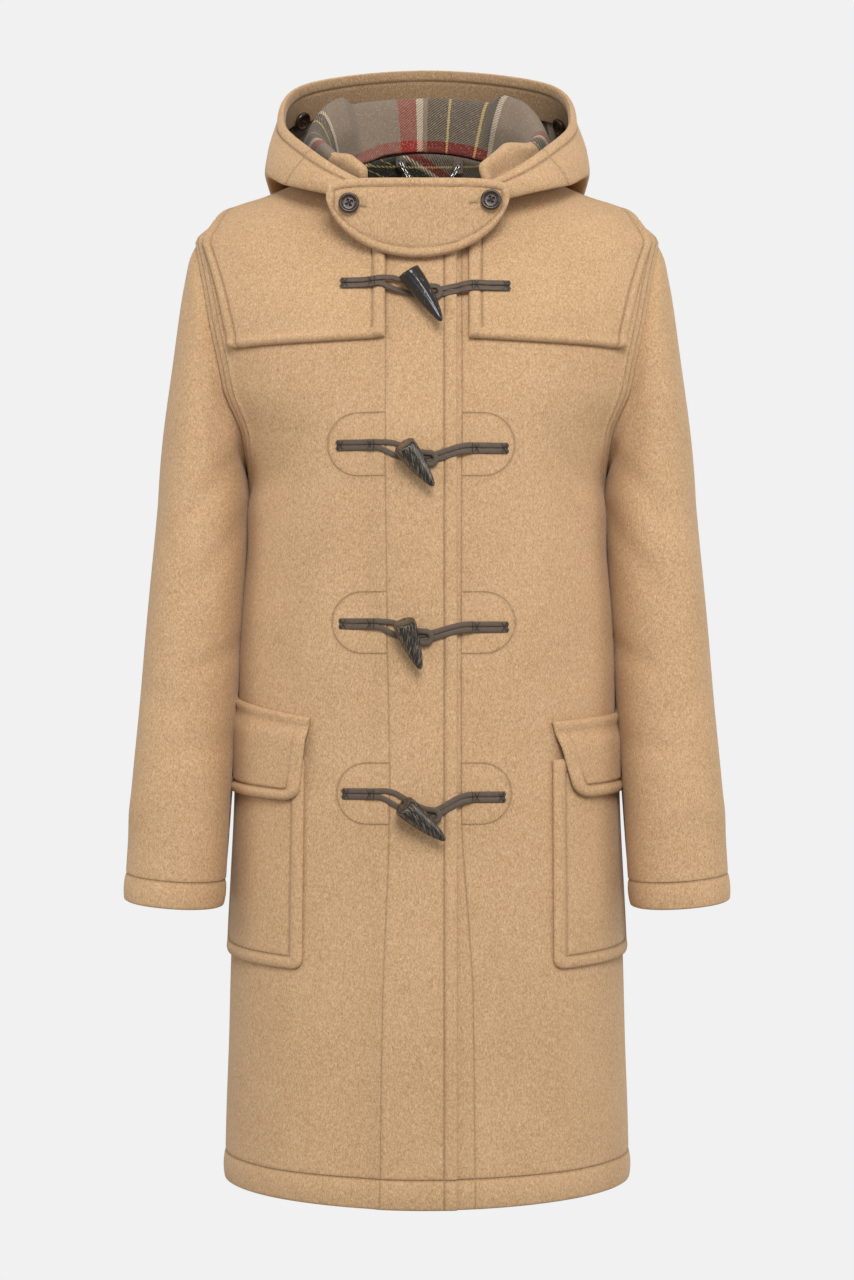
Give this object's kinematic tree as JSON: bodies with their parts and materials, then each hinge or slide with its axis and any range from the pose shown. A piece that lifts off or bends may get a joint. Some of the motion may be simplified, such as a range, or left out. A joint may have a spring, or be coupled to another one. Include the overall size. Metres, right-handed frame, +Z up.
{
  "type": "duffle coat",
  "caption": "Hooded camel wool duffle coat filled out and hanging from the neck, with horn toggles on leather loops, shoulder yoke, flap pockets and throat tab.",
  "frame": {"origin": "where the wearer's neck holds the coat: the middle of the neck opening, level with the shoulders", "axes": "+Z up, towards the hood; the front faces -Y; +X is the wearer's left"},
  "size_m": [0.556, 0.3487, 1.068],
  "materials": {
    "camel_wool": "thick milled wool with a short brushed nap, camel outside and woven in a muted check on its inner face",
    "dark_horn": "polished dark horn with pale streaks",
    "brown_leather": "dark grey-brown smooth leather strip with stitched ends",
    "horn_button": "polished dark brown four-hole horn button",
    "steel_chain": "bright polished links"
  },
  "bodies": {
    "root": {"back": "camel_wool", "front_left": "camel_wool", "front_right": "camel_wool", "yoke": "camel_wool", "sleeve_left": "camel_wool", "sleeve_right": "camel_wool", "hood": "camel_wool", "hood_facing": "camel_wool", "throat_tab": "camel_wool", "pocket_left": "camel_wool", "pocket_right": "camel_wool", "pocket_flap_left": "camel_wool", "pocket_flap_right": "camel_wool", "toggle_1": "dark_horn", "loop_1": "brown_leather", "thong_1": "brown_leather", "toggle_2": "dark_horn", "loop_2": "brown_leather", "thong_2": "brown_leather", "toggle_3": "dark_horn", "loop_3": "brown_leather", "thong_3": "brown_leather", "toggle_4": "dark_horn", "loop_4": "brown_leather", "thong_4": "brown_leather", "throat_button_left": "horn_button", "throat_button_right": "horn_button", "hood_button_left": "horn_button", "hood_button_right": "horn_button", "hanging_chain": "steel_chain", "chain_tab_left": "brown_leather", "chain_tab_right": "brown_leather"}
  },
  "joints": []
}
